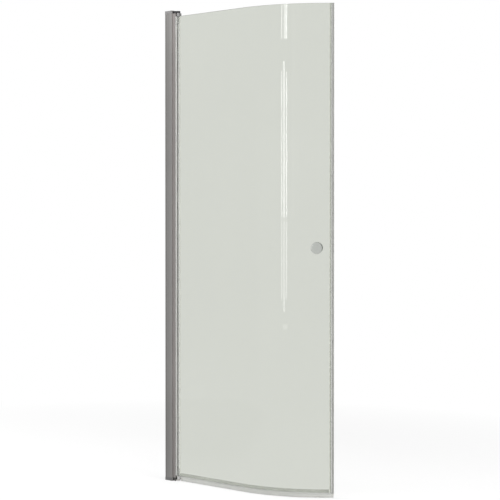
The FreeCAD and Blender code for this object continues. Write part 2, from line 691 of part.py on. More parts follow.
def build():
    os.makedirs("parts", exist_ok=True)
    cap_low = SET_HEIGHT - CAP_PLATE
    pieces = {
        "wall_channel": wall_channel(),
        "channel_top_cap": channel_cap(cap_low, SET_HEIGHT, SET_HEIGHT - CAP_SKIRT, cap_low),
        "channel_foot_cap": channel_cap(0, CAP_PLATE, CAP_PLATE, CAP_SKIRT),
        "outer_gasket": mouth_gasket(-1),
        "inner_gasket": mouth_gasket(1),
        "jamb_profile": jamb_profile(),
        "cup_seal": cup_seal(),
        "top_bracket": top_bracket(),
        "bottom_bracket": bottom_bracket(),
        "bottom_hinge_plate": bottom_hinge_plate(),
        "hinge_plate_screws": plate_screws(),
        "bracket_screws": bracket_screws(),
        "top_pivot_pin": pivot_pin(GLASS_TOP - PIN_PAST_GLASS, TOP_ARM_TOP),
        "bottom_pivot_pin": pivot_pin(PLATE_BOTTOM, GLASS_FOOT + PIN_PAST_GLASS),
        "thrust_washer": thrust_washer(),
        "lock_screws": lock_screws(),
        "lock_washers": lock_washers(),
        "screw_covers": screw_covers(),
        "glass_pane": glass_pane(),
        "hinge_profile": hinge_profile(),
        "top_end_fitting": top_end_fitting(),
        "bottom_end_fitting": bottom_end_fitting(),
        "top_bush": top_bush(),
        "bottom_bush": bottom_bush(),
        "sweep_clip": sweep_clip(),
        "drip_fin": drip_fin(),
        "closing_clip": closing_clip(),
        "magnet_strip": magnet_strip(),
        "outer_knob": knob(-1),
        "inner_knob": knob(1),
        "outer_knob_washer": knob_washer(-1),
        "inner_knob_washer": knob_washer(1),
        "knob_sleeve": knob_sleeve(),
        "knob_stud": knob_stud(),
    }
    for name, shape in pieces.items():
        save(name, shape)


build()
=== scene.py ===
import math

import bmesh
import bpy
from mathutils import Matrix, Vector


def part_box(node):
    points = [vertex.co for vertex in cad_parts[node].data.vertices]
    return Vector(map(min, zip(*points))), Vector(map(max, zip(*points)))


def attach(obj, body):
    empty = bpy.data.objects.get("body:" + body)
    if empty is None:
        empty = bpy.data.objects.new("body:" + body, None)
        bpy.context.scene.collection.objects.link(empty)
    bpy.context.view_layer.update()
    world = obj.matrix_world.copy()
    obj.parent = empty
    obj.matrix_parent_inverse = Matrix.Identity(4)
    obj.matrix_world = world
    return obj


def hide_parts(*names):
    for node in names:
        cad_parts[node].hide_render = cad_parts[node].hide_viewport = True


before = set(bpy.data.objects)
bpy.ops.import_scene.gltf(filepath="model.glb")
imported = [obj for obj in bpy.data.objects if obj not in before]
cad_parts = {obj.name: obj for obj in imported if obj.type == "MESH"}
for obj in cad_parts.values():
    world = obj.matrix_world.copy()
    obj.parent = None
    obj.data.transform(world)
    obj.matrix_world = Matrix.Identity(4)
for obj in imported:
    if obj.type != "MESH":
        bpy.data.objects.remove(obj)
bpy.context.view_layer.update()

# The looks of one door of a round-corner shower, hinged on its wall profile.
# Everything is in metres: X out of the wall along the flat of the glass, +Y the wet side, Z up.

# ---- Glass line in plan, as the solids have it: a straight out of the wall, then an arc ----
BOW_START = 0.405
BOW_RADIUS = 0.480
HALF_CORNER = math.radians(45)
CLOSING_ALLOWANCE = 0.010
GLASS_END = HALF_CORNER - CLOSING_ALLOWANCE / BOW_RADIUS
DRY_SIDE = -1
WET_SIDE = 1

# ---- Pane: its thickness and ground edge, and how finely its mesh is divided ----
GLASS_HALF = 0.003
ARRIS = 0.0007
STATION_STEP = 0.004
STRAIGHT_STEP = 0.030
ROW_STEP = 0.050
PATCH_HALF = 0.020
PATCH_LOOPS = (0.3, 0.6, 0.85, 1.0)
PANE_SHARP = math.radians(30)
STEP_SLACK = 1e-6

# ---- Knob: a turned neck and head on a washer, with a blind hole for the stud ----
KNOB_HEIGHT = 0.950
KNOB_FROM_CLOSING = 0.065
KNOB_ALONG = HALF_CORNER * BOW_RADIUS - KNOB_FROM_CLOSING
KNOB_HOLE_R = 0.006
KNOB_R = 0.0225
KNOB_NECK_R = 0.010
KNOB_NECK = 0.009
KNOB_HEAD = 0.015
KNOB_ROUND = 0.003
KNOB_RIM = 0.0048
KNOB_BACK = 0.0015
KNOB_EASE = 0.0004
KNOB_WASHER = 0.001
KNOB_STUD_R = 0.004
KNOB_STUD_REACH = 0.015
KNOB_STEPS = 6
KNOB_SEGMENTS = 96
KNOB_SHARP = math.radians(35)

# ---- Camera: a level view, dipped a little and turned about Z ----
CAMERA_PLACE = Vector((3.94765, -3.99521, 1.05930))
CAMERA_LEVEL = math.radians(90)
CAMERA_DIP = math.radians(0.6622)
CAMERA_TURN = math.radians(41.2448)
CAMERA_LENS = 99.314
CAMERA_SENSOR = 36.0
CAMERA_SHIFT = -0.03

# ---- Directions, and how much each axis counts in the die lines of a strip, least along its run ----
ALONG_X = (1.0, 0.0, 0.0)
UP = (0.0, 0.0, 1.0)
ALONG_CORNER = (math.sqrt(0.5), math.sqrt(0.5), 0.0)
UPRIGHT_RUN = (1.0, 1.0, 0.004)
LEVEL_RUN = (0.004, 0.004, 1.0)

# ---- Textures ----
# Broad lines to one fine line, and speckles to one grain, over the same length.
BROAD_LINES = 0.2
COARSE_SPECKLE = 0.3
# How well the eased normal agrees with the plain one, on a flat face and on an edge.
FLAT_FACING = 0.98
EDGE_FACING = 0.8
BEVEL_SAMPLES = 6
# What rubbing leaves of a moulding's roughness.
RUBBED_ROUGHNESS = 0.7

# ---- Tones of the glass and the knobs, and the one that two clear strips share ----
GLASS_TONE = (0.646, 0.663, 0.611)
GLASS_BODY = (0.70, 0.86, 0.78)
GLASS_DENSITY = 4.0
GROUND_ROUGHNESS = 0.3
KNOB_TONE = (0.505, 0.522, 0.492)
CLEAR_STRIP_TONE = (0.98, 0.985, 0.965)

# ---- Painted light and shade across and along the pieces, lighter or darker than their own tone ----
# Each is a direction, where the painted shade starts and ends along it, and the gain on the tone at each.
# Painted light towards the head of the upright bars, and painted shade towards their foot.
PAINTED_HEAD_LIGHT = (UP, 1.72, 1.87, 1.0, 1.14)
PAINTED_FOOT_SHADE = (UP, 0.0, 0.40, 0.87, 1.0)
# The channel: painted shade along the edge at the wall, and painted light towards its front.
CHANNEL_PAINTED_SHADES = (
    (ALONG_X, 0.0040, 0.0110, 0.80, 1.0),
    (ALONG_X, 0.0180, 0.0340, 1.0, 1.14),
    PAINTED_HEAD_LIGHT,
    PAINTED_FOOT_SHADE,
)
# The jamb: painted light on its face beside the channel's lip, where the lip shades it, painted shade
# towards its nose, and painted light on the nose, which lies in shade.
JAMB_PAINTED_SHADES = (
    (ALONG_X, 0.0400, 0.0455, 1.60, 1.0),
    (ALONG_X, 0.0480, 0.0515, 1.0, 0.80),
    (ALONG_X, 0.0526, 0.0529, 1.0, 2.3),
    PAINTED_HEAD_LIGHT,
    PAINTED_FOOT_SHADE,
)
# The hinge strip: painted lighter and darker bands across it, for the light and shade seen in it.
HINGE_PAINTED_SHADES = (
    (ALONG_X, 0.0595, 0.0615, 1.25, 1.0),
    (ALONG_X, 0.0645, 0.0675, 0.73, 1.0),
)
# The closing strip: painted lighter and darker bands across it, for the light and shade seen in it.
CLOSING_PAINTED_SHADES = (
    (ALONG_CORNER, 0.6100, 0.6120, 1.0, 0.81),
    (ALONG_CORNER, 0.6150, 0.6160, 1.0, 0.85),
    (ALONG_CORNER, 0.6200, 0.6215, 1.0, 1.38),
)
# The cup seal: painted shade on its part nearer the wall.
CUP_PAINTED_SHADES = ((ALONG_X, 0.0534, 0.0552, 0.38, 1.0),)
# Caps and covers: painted shade towards the foot and painted light towards the head.
CAP_PAINTED_SHADES = ((UP, 0.5, 1.5, 0.47, 0.88),)
# The fin: painted shade along its foot, by the floor.
FIN_PAINTED_SHADES = ((UP, 0.004, 0.010, 0.88, 1.0),)
# The top arm: painted light on its lower part, which lies in shade.
TOP_BRACKET_PAINTED_SHADES = ((UP, 1.886, 1.888, 9.0, 1.0),)
# The top fitting: painted light on its lower part, which lies in shade.
TOP_FITTING_PAINTED_SHADES = ((UP, 1.874, 1.877, 2.3, 1.0),)
# The bottom fitting: painted light above its foot.
BOTTOM_FITTING_PAINTED_SHADES = ((UP, 0.0195, 0.0225, 1.0, 1.5),)

# ---- Studio: a strength of 1 is white ----
WHITE = 1.0
PLAIN_LEVEL = 0.5
FLOOR_HALF = 60
FLOOR_SINK = 0.0005
FLOOR_TONE = 0.35
FLOOR_LIFT = 0.615
FLOOR_BOUNCE = 0.8
SHADOW_FADES = (1.2, 2.5)
CARD_HALF = 0.5

# ---- Bright bars in front of the bow, whose mirror images are the pale upright streaks in the glass ----
# A place is a middle in X and a width; a stretch is a foot and a head in Z.
# Low down, a bar keeps only a share of its level over white.
BAR_DISTANCE = -2.45
MAIN_FOOT = 1.069
MAIN_HEAD = 1.886
BARS = {
    "left": {"place": (0.672, 0.034), "top_place": (0.672, 0.034), "head": MAIN_HEAD, "level": 7.5},
    "middle": {"place": (0.788, 0.085), "top_place": (0.838, 0.105), "head": 1.945, "level": 6.3},
    "right": {"place": (0.906, 0.036), "top_place": (0.906, 0.036), "head": MAIN_HEAD, "level": 10.0},
}
TOP_STRETCH = (2.071, 2.40)
LOW_STRETCH = (0.609, 1.047)
LOW_SHARE = 0.51
SHORT_STRETCH = (0.541, 0.609)
SHORT_LEVEL = 4.4
LAST_PLACE = (0.84, 0.24)
LAST_STRETCH = (0.440, 0.468)
LAST_LEVEL = 2.2
VEIL_DISTANCE = -2.50
VEIL_PLACE = (0.805, 0.31)
VEIL_STRETCH = (LOW_STRETCH[0], MAIN_HEAD)
VEIL_LEVEL = 1.95
FAINT_STRETCH = (MAIN_FOOT, TOP_STRETCH[1])


# ---- Shared shapes ----
def line_point(along, offset, height):
    """A point on the glass line: along is measured from the start of the bow, offset to the wet side."""
    if along <= 0:
        return Vector((BOW_START + along, offset, height))
    turn = along / BOW_RADIUS
    reach = BOW_RADIUS - offset
    return Vector((BOW_START + reach * math.sin(turn), BOW_RADIUS - reach * math.cos(turn), height))


def evenly(low, high, step):
    """Values from low to high, both included, no more than step apart."""
    count = max(1, math.ceil((high - low) / step - STEP_SLACK))
    return [low + (high - low) * i / count for i in range(count + 1)]


def nearest(values, wanted):
    """The place in a list of the value nearest to the wanted one."""
    return min(range(len(values)), key=lambda i: abs(values[i] - wanted))


def rim_of(i0, i1, j0, j1):
    """Grid places round the rim of a rectangle, in order."""
    bottom = [(i, j0) for i in range(i0, i1)]
    right = [(i1, j) for j in range(j0, j1)]
    top = [(i, j1) for i in range(i1, i0, -1)]
    left = [(i0, j) for j in range(j1, j0, -1)]
    return bottom + right + top + left


def join_loops(bm, loop_a, loop_b):
    """Faces between two closed loops of as many points."""
    for k in range(len(loop_a)):
        n = (k + 1) % len(loop_a)
        bm.faces.new((loop_a[k], loop_a[n], loop_b[n], loop_b[k]))


def finished_mesh(name, bm, sharp):
    """A closed mesh, shaded smooth, with a hard line where two faces meet at more than the sharp angle."""
    bmesh.ops.recalc_face_normals(bm, faces=bm.faces)
    mesh = bpy.data.meshes.new(name)
    bm.to_mesh(mesh)
    bm.free()
    for face in mesh.polygons:
        face.use_smooth = True
    mesh.set_sharp_from_angle(angle=sharp)
    return mesh


def new_object(name, data):
    """A new object in the scene."""
    piece = bpy.data.objects.new(name, data)
    bpy.context.scene.collection.objects.link(piece)
    return piece


def new_piece(name, mesh, body, slot, *nodes):
    """A finished piece that rides on a body and stands for the named nodes."""
    piece = new_object(name, mesh)
    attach(piece, body)
    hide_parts(*nodes)
    return piece


# ---- Pane ----
def pane_stations():
    """Places along the glass line, from the hinge edge to the closing edge."""
    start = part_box("glass_pane")[0].x - BOW_START
    flat = evenly(start + ARRIS, 0, STRAIGHT_STEP)
    bowed = evenly(0, BOW_RADIUS * GLASS_END - ARRIS, STATION_STEP)
    return flat + bowed[1:]


def pane_heights():
    """Heights up the pane, close together beside the knob hole."""
    low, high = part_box("glass_pane")
    beside = evenly(KNOB_HEIGHT - PATCH_HALF, KNOB_HEIGHT + PATCH_HALF, STATION_STEP)
    plain = evenly(low.z + ARRIS, high.z - ARRIS, ROW_STEP)
    below = [z for z in plain if z < beside[0] - STATION_STEP]
    above = [z for z in plain if z > beside[-1] + STATION_STEP]
    return below + beside + above


def round_loop(bm, square, offset, radius, share):
    """Points part of the way from a square of places to a circle about the knob's axis."""
    loop = []
    for along, height in square:
        away = Vector((along - KNOB_ALONG, height - KNOB_HEIGHT))
        place = away.lerp(away.normalized() * radius, share)
        loop.append(bm.verts.new(line_point(KNOB_ALONG + place.x, offset, KNOB_HEIGHT + place.y)))
    return loop


def pane_face(bm, stations, heights, patch, offset):
    """One face of the pane with a round hole for the knob; gives its outer rim and the hole's rim."""
    first, last, low_row, high_row = patch
    grid = [[bm.verts.new(line_point(s, offset, z)) for z in heights] for s in stations]
    for i in range(len(stations) - 1):
        for j in range(len(heights) - 1):
            if not (first <= i < last and low_row <= j < high_row):
                bm.faces.new((grid[i][j], grid[i + 1][j], grid[i + 1][j + 1], grid[i][j + 1]))
    rim = rim_of(*patch)
    square = [(stations[i], heights[j]) for i, j in rim]
    loop = [grid[i][j] for i, j in rim]
    for share in PATCH_LOOPS:
        inner = round_loop(bm, square, offset, KNOB_HOLE_R + ARRIS, share)
        join_loops(bm, loop, inner)
        loop = inner
    for i in range(first + 1, last):
        for j in range(low_row + 1, high_row):
            bm.verts.remove(grid[i][j])
    edge = rim_of(0, len(stations) - 1, 0, len(heights) - 1)
    return [grid[i][j] for i, j in edge], loop


def pane_land(bm, stations, heights, offset):
    """One rim of the flat land between the two arrises of the pane's edge."""
    last_station, last_row = len(stations) - 1, len(heights) - 1
    loop = []
    for i, j in rim_of(0, last_station, 0, last_row):
        along = stations[i] + ARRIS * ((i == last_station) - (i == 0))
        height = heights[j] + ARRIS * ((j == last_row) - (j == 0))
        loop.append(bm.verts.new(line_point(along, offset, height)))
    return loop


def glass_pane_mesh():
    """The pane with ground arrises and a drilled hole, fine enough to mirror as a true curve."""
    stations, heights = pane_stations(), pane_heights()
    patch = (nearest(stations, KNOB_ALONG - PATCH_HALF), nearest(stations, KNOB_ALONG + PATCH_HALF),
             nearest(heights, KNOB_HEIGHT - PATCH_HALF), nearest(heights, KNOB_HEIGHT + PATCH_HALF))
    square = [(stations[i], heights[j]) for i, j in rim_of(*patch)]
    bm = bmesh.new()
    lands, bores = [], []
    for side in (DRY_SIDE, WET_SIDE):
        rim, hole = pane_face(bm, stations, heights, patch, side * GLASS_HALF)
        land = pane_land(bm, stations, heights, side * (GLASS_HALF - ARRIS))
        bore = round_loop(bm, square, side * (GLASS_HALF - ARRIS), KNOB_HOLE_R, share=1.0)
        join_loops(bm, rim, land)
        join_loops(bm, hole, bore)
        lands.append(land)
        bores.append(bore)
    join_loops(bm, *lands)
    join_loops(bm, *bores)
    return finished_mesh("glass_pane_fine", bm, PANE_SHARP)


# ---- Knobs ----
def quarter(centre_r, centre_z, reach_r, reach_z, turn, steps):
    """Points along a quarter of an ellipse, from the turn in degrees that is given, 90 degrees on."""
    points = []
    for k in range(steps + 1):
        angle = math.radians(turn + 90 * k / steps)
        points.append((centre_r + reach_r * math.cos(angle), centre_z + reach_z * math.sin(angle)))
    return points


def knob_profile():
    """Half section of a knob, as radius and height: a neck, a flare and a face with a full rim."""
    face = KNOB_NECK + KNOB_HEAD
    foot = [(KNOB_STUD_R, 0.0), (KNOB_NECK_R - KNOB_EASE, 0.0), (KNOB_NECK_R, KNOB_EASE)]
    flare = quarter(KNOB_NECK_R + KNOB_ROUND, KNOB_NECK - KNOB_ROUND, -KNOB_ROUND, KNOB_ROUND,
                    turn=0, steps=KNOB_STEPS)
    back = quarter(KNOB_R - KNOB_BACK, KNOB_NECK + KNOB_BACK, KNOB_BACK, KNOB_BACK,
                   turn=-90, steps=KNOB_STEPS)
    front = quarter(KNOB_R - KNOB_RIM, face - KNOB_ROUND, KNOB_RIM, KNOB_ROUND,
                    turn=0, steps=2 * KNOB_STEPS)
    return foot + flare + back + front + [(KNOB_EASE, face)]


def turned_ring(bm, radius, height):
    """A ring of points about local Z."""
    turns = [2 * math.pi * k / KNOB_SEGMENTS for k in range(KNOB_SEGMENTS)]
    return [bm.verts.new((radius * math.cos(turn), radius * math.sin(turn), height)) for turn in turns]


def knob_mesh(name):
    """A turned knob about local Z, its foot at Z 0 on the washer, with a blind hole for the stud."""
    bm = bmesh.new()
    rings = [turned_ring(bm, radius, height) for radius, height in knob_profile()]
    for lower, upper in zip(rings, rings[1:]):
        join_loops(bm, lower, upper)
    bm.faces.new(rings[-1])
    well = turned_ring(bm, KNOB_STUD_R, KNOB_STUD_REACH - GLASS_HALF - KNOB_WASHER)
    join_loops(bm, well, rings[0])
    bm.faces.new(well)
    return finished_mesh(name, bm, KNOB_SHARP)


def knob(name, side):
    """A knob on its washer, square to the glass on the side given."""
    piece = new_piece(name + "_turned", knob_mesh(name), "door", "satin_knob_metal", name)
    seat = line_point(KNOB_ALONG, side * (GLASS_HALF + KNOB_WASHER), KNOB_HEIGHT)
    out = (line_point(KNOB_ALONG, side, 0) - line_point(KNOB_ALONG, 0, 0)).normalized()
    piece.matrix_world = Matrix.Translation(seat) @ out.to_track_quat("Z", "Y").to_matrix().to_4x4()
    return piece


# ---- Nodes ----
def node_of(tree, kind):
    """The node of a kind that a new tree starts with."""
    return next(node for node in tree.nodes if node.type == kind)


def feed(tree, value, socket):
    """Links a socket, or sets a plain value."""
    if isinstance(value, bpy.types.NodeSocket):
        tree.links.new(value, socket)
    else:
        socket.default_value = value


def maths(tree, operation, *values):
    """What Blender's math node makes of the values."""
    node = tree.nodes.new("ShaderNodeMath")
    node.operation = operation
    for value, socket in zip(values, node.inputs):
        feed(tree, value, socket)
    return node.outputs[0]


def between(tree, value, low, high, to_low, to_high):
    """Maps a value from one span to another, held at its ends."""
    node = tree.nodes.new("ShaderNodeMapRange")
    for given, socket in zip((value, low, high, to_low, to_high), node.inputs):
        feed(tree, given, socket)
    return node.outputs[0]


def share_of(tree, value, first, last):
    """Zero where the value is the first, one where it is the last, and held beyond them."""
    return between(tree, value, first, last, 0.0, 1.0)


def level_at(tree, share, first, last):
    """The first level where the share is zero, the last where it is one."""
    return between(tree, share, 0.0, 1.0, first, last)


def mixed(tree, share, first, last):
    """The first colour where the share is zero, the last where it is one."""
    node = tree.nodes.new("ShaderNodeMix")
    node.data_type = "RGBA"
    for given, socket in zip((share, first, last), (node.inputs[0], node.inputs[6], node.inputs[7])):
        feed(tree, given, socket)
    return node.outputs[2]


def scaled(tree, vector, scale):
    """A vector or colour times another, or times one value for all three parts."""
    node = tree.nodes.new("ShaderNodeVectorMath")
    node.operation = "MULTIPLY"
    feed(tree, vector, node.inputs[0])
    feed(tree, scale, node.inputs[1])
    return node.outputs[0]


def lit(tree, colour, gain):
    """A colour times a plain number."""
    return scaled(tree, colour, (gain, gain, gain))


def dot(tree, first, second):
    """How far the first vector reaches along the second."""
    node = tree.nodes.new("ShaderNodeVectorMath")
    node.operation = "DOT_PRODUCT"
    feed(tree, first, node.inputs[0])
    feed(tree, second, node.inputs[1])
    return node.outputs["Value"]


def noise(tree, vector, scale, detail):
    """Cloudy noise, mostly between 0.3 and 0.7."""
    node = tree.nodes.new("ShaderNodeTexNoise")
    feed(tree, vector, node.inputs["Vector"])
    feed(tree, scale, node.inputs["Scale"])
    feed(tree, detail, node.inputs["Detail"])
    return node.outputs["Fac"]


def place_on_piece(tree):
    """Where a point lies in its own piece, so that a texture moves with the piece."""
    return tree.nodes.new("ShaderNodeTexCoord").outputs["Object"]


def surface_normal(tree):
    """The way the surface faces."""
    return tree.nodes.new("ShaderNodeNewGeometry").outputs["Normal"]


# ---- Effects that the finishes share, each a node group with named inputs and outputs ----
FLOAT = "NodeSocketFloat"
VECTOR = "NodeSocketVector"
COLOR = "NodeSocketColor"


def shader_group(name, inputs, outputs):
    """An empty node group with named sockets, and its input and output nodes."""
    group = bpy.data.node_groups.new(name, "ShaderNodeTree")
    for label, kind, value in inputs:
        socket = group.interface.new_socket(name=label, in_out="INPUT", socket_type=kind)
        socket.default_value = value
    for label, kind in outputs:
        group.interface.new_socket(name=label, in_out="OUTPUT", socket_type=kind)
    return group, group.nodes.new("NodeGroupInput"), group.nodes.new("NodeGroupOutput")


def drawn_lines_group():
    """Faint lines that the die leaves along a strip, unbroken along its run and fine across it."""
    group, given, made = shader_group(
        "drawn lines",
        [("Lines per Metre", FLOAT, 900.0), ("Waver", FLOAT, 0.35), ("Run", VECTOR, UPRIGHT_RUN)],
        [("Lines", FLOAT), ("Height", FLOAT)])
    stretched = scaled(group, place_on_piece(group), given.outputs["Run"])
    broader = maths(group, "MULTIPLY", given.outputs["Lines per Metre"], BROAD_LINES)
    fine = noise(group, stretched, given.outputs["Lines per Metre"], detail=3.0)
    broad = noise(group, stretched, broader, detail=2.0)
    both = maths(group, "MULTIPLY_ADD", broad, given.outputs["Waver"], fine)
    feed(group, share_of(group, both, first=0.45, last=0.9), made.inputs["Lines"])
    feed(group, fine, made.inputs["Height"])
    return group


def clouded_tone_group():
    """A colour that drifts a little over the surface, as any real batch does."""
    group, given, made = shader_group(
        "clouded tone",
        [("Color", COLOR, (0.5, 0.5, 0.5, 1)), ("Patches per Metre", FLOAT, 6.0), ("Amount", FLOAT, 0.06)],
        [("Color", COLOR)])
    cloud = noise(group, place_on_piece(group), given.outputs["Patches per Metre"], detail=4.0)
    drift = between(group, cloud, low=0.3, high=0.7, to_low=-1.0, to_high=1.0)
    gain = maths(group, "MULTIPLY_ADD", drift, given.outputs["Amount"], 1.0)
    feed(group, scaled(group, given.outputs["Color"], gain), made.inputs["Color"])
    return group


def moulded_grain_group():
    """The fine sparked grain of a moulding tool."""
    group, given, made = shader_group(
        "moulded grain",
        [("Grains per Metre", FLOAT, 2500.0)],
        [("Height", FLOAT), ("Speckle", FLOAT)])
    pits = group.nodes.new("ShaderNodeTexVoronoi")
    pits.feature = "SMOOTH_F1"
    feed(group, place_on_piece(group), pits.inputs["Vector"])
    feed(group, given.outputs["Grains per Metre"], pits.inputs["Scale"])
    coarser = maths(group, "MULTIPLY", given.outputs["Grains per Metre"], COARSE_SPECKLE)
    coarse = noise(group, place_on_piece(group), coarser, detail=3.0)
    feed(group, pits.outputs["Distance"], made.inputs["Height"])
    feed(group, share_of(group, coarse, first=0.4, last=0.65), made.inputs["Speckle"])
    return group


def worn_and_highlighted_edge_group():
    """One along the outer edges, where handling has worn them and a highlight is painted, and the normal of
    an eased edge.
    """
    group, given, made = shader_group(
        "worn and highlighted edge",
        [("Width", FLOAT, 0.0006)],
        [("Edge", FLOAT), ("Normal", VECTOR)])
    eased = group.nodes.new("ShaderNodeBevel")
    eased.samples = BEVEL_SAMPLES
    feed(group, given.outputs["Width"], eased.inputs["Radius"])
    facing = dot(group, eased.outputs["Normal"], surface_normal(group))
    feed(group, share_of(group, facing, FLAT_FACING, EDGE_FACING), made.inputs["Edge"])
    feed(group, eased.outputs["Normal"], made.inputs["Normal"])
    return group


def turned_rings_group():
    """Rings left by the tool about local Z."""
    group, given, made = shader_group(
        "turned rings",
        [("Rings per Metre", FLOAT, 1500.0)],
        [("Rings", FLOAT), ("Height", FLOAT)])
    parts = group.nodes.new("ShaderNodeSeparateXYZ")
    feed(group, place_on_piece(group), parts.inputs[0])
    squares = [maths(group, "POWER", part, 2.0) for part in parts.outputs[:2]]
    section = group.nodes.new("ShaderNodeCombineXYZ")
    feed(group, maths(group, "SQRT", maths(group, "ADD", *squares)), section.inputs[0])
    feed(group, parts.outputs[2], section.inputs[1])
    rings = noise(group, section.outputs[0], given.outputs["Rings per Metre"], detail=2.0)
    feed(group, share_of(group, rings, first=0.35, last=0.65), made.inputs["Rings"])
    feed(group, rings, made.inputs["Height"])
    return group


def painted_shade_across_group():
    """A gain that runs evenly from one value to another across a piece, in the direction given, to paint
    light and shade on it.
    """
    group, given, made = shader_group(
        "painted shade across",
        [("Direction", VECTOR, ALONG_X), ("From", FLOAT, 0.0), ("To", FLOAT, 1.0),
         ("Low", FLOAT, 1.0), ("High", FLOAT, 1.0)],
        [("Gain", FLOAT)])
    along = dot(group, place_on_piece(group), given.outputs["Direction"])
    span = [given.outputs[label] for label in ("From", "To", "Low", "High")]
    feed(group, between(group, along, *span), made.inputs["Gain"])
    return group


def level_faces_group():
    """One on the faces that look up or down, such as the ground edges of a pane; zero on upright ones."""
    group, given, made = shader_group(
        "level faces",
        [("Tilt", FLOAT, 0.5)],
        [("Mask", FLOAT)])
    steep = maths(group, "ABSOLUTE", dot(group, surface_normal(group), UP))
    feed(group, maths(group, "GREATER_THAN", steep, given.outputs["Tilt"]), made.inputs["Mask"])
    return group


DRAWN_LINES = drawn_lines_group()
CLOUDED_TONE = clouded_tone_group()
MOULDED_GRAIN = moulded_grain_group()
WORN_AND_HIGHLIGHTED_EDGE = worn_and_highlighted_edge_group()
TURNED_RINGS = turned_rings_group()
PAINTED_SHADE_ACROSS = painted_shade_across_group()
LEVEL_FACES = level_faces_group()


def use(tree, group, **values):
    """Places a shared group; underscores in a keyword stand for spaces in a socket's name."""
    node = tree.nodes.new("ShaderNodeGroup")
    node.node_tree = group
    for key, value in values.items():
        feed(tree, value, node.inputs[key.replace("_", " ")])
    return node


# ---- Finishes ----
def finish_of(name, **plain):
    """A new material, its tree and its shader, with the plain values set on the shader's own sockets."""
    material = bpy.data.materials.new(name)
    material.use_nodes = True
    tree = material.node_tree
    shader = node_of(tree, "BSDF_PRINCIPLED")
    for key, value in plain.items():
        shader.inputs[key.replace("_", " ")].default_value = value
    return material, tree, shader


def toned(tree, colour, patches, amount, painted_shades=()):
    """A colour that drifts by the amount, so many patches to the metre, with each painted shade's gain over
    it.
    """
    drifting = use(tree, CLOUDED_TONE, Color=(*colour, 1), Patches_per_Metre=patches, Amount=amount)
    tone = drifting.outputs["Color"]
    for direction, start, end, low, high in painted_shades:
        shade = use(tree, PAINTED_SHADE_ACROSS, Direction=direction, From=start, To=end, Low=low, High=high)
        tone = scaled(tree, tone, shade.outputs["Gain"])
    return tone


def surfaced(tree, shader, tone, roughness):
    """Feeds a shader its tone and its roughness."""
    feed(tree, tone, shader.inputs["Base Color"])
    feed(tree, roughness, shader.inputs["Roughness"])


def bump(tree, shader, height, depth, eased=None):
    """Fine relief on a surface, over the normal of its eased edges where that is given."""
    node = tree.nodes.new("ShaderNodeBump")
    node.inputs["Strength"].default_value = 1.0
    node.inputs["Distance"].default_value = depth
    feed(tree, height, node.inputs["Height"])
    if eased:
        feed(tree, eased, node.inputs["Normal"])
    feed(tree, node.outputs[0], shader.inputs["Normal"])


def drawn_metal(name, colour, roughness, painted_shades):
    """Anodised extrusion: die lines along the bar, a little drift in tone, a painted highlight along its
    edges.
    """
    material, tree, shader = finish_of(name, Metallic=0.9)
    lines = use(tree, DRAWN_LINES, Lines_per_Metre=1100.0, Run=UPRIGHT_RUN)
    edge = use(tree, WORN_AND_HIGHLIGHTED_EDGE, Width=0.0005)
    clean = toned(tree, colour, patches=5.0, amount=0.04, painted_shades=painted_shades)
    lined = mixed(tree, lines.outputs["Lines"], lit(tree, clean, gain=0.9), clean)
    # The edges painted lighter: a painted highlight.
    highlighted = mixed(tree, edge.outputs["Edge"], lined, lit(tree, clean, gain=1.12))
    rougher, smoother = roughness + 0.05, roughness - 0.04
    surfaced(tree, shader, highlighted, level_at(tree, lines.outputs["Lines"], rougher, smoother))
    bump(tree, shader, lines.outputs["Height"], depth=0.00003, eased=edge.outputs["Normal"])
    return material


def moulding(name, colour, roughness, grain, depth, painted_shades=()):
    """Moulded plastic or rubber: sparked grain, faint speckle, edges worn smoother, with a painted
    highlight on them.
    """
    material, tree, shader = finish_of(name)
    grains = use(tree, MOULDED_GRAIN, Grains_per_Metre=grain)
    edge = use(tree, WORN_AND_HIGHLIGHTED_EDGE, Width=0.0006)
    clean = toned(tree, colour, patches=40.0, amount=0.06, painted_shades=painted_shades)
    specked = mixed(tree, grains.outputs["Speckle"], clean, lit(tree, clean, gain=0.9))
    # The edges painted lighter: a painted highlight.
    highlighted = mixed(tree, edge.outputs["Edge"], specked, lit(tree, clean, gain=1.3))
    smoother = roughness * RUBBED_ROUGHNESS
    surfaced(tree, shader, highlighted, level_at(tree, edge.outputs["Edge"], roughness, smoother))
    bump(tree, shader, grains.outputs["Height"], depth, eased=edge.outputs["Normal"])
    return material


def metal_fitting(name, colour, roughness, painted_shades=()):
    """Turned, pressed or cast metal: a fine grain, and a painted highlight along its edges."""
    material, tree, shader = finish_of(name, Metallic=1.0)
    grains = use(tree, MOULDED_GRAIN, Grains_per_Metre=6000.0)
    edge = use(tree, WORN_AND_HIGHLIGHTED_EDGE, Width=0.0004)
    clean = toned(tree, colour, patches=120.0, amount=0.06, painted_shades=painted_shades)
    # The edges painted lighter: a painted highlight.
    highlighted = mixed(tree, edge.outputs["Edge"], clean, lit(tree, clean, gain=1.25))
    rougher = roughness + 0.08
    surfaced(tree, shader, highlighted, level_at(tree, grains.outputs["Speckle"], roughness, rougher))
    bump(tree, shader, grains.outputs["Height"], depth=0.00001, eased=edge.outputs["Normal"])
    return material


def clear_seal(name, colour, roughness, clearness, index, run, painted_shades=()):
    """Semi-clear extruded strip: faint die lines and a little drift in tone."""
    material, tree, shader = finish_of(name, Transmission_Weight=clearness, IOR=index)
    lines = use(tree, DRAWN_LINES, Lines_per_Metre=700.0, Run=run)
    tone = toned(tree, colour, patches=8.0, amount=0.02, painted_shades=painted_shades)
    rougher = roughness + 0.04
    surfaced(tree, shader, tone, level_at(tree, lines.outputs["Lines"], roughness, rougher))
    bump(tree, shader, lines.outputs["Height"], depth=0.000005)
    return material


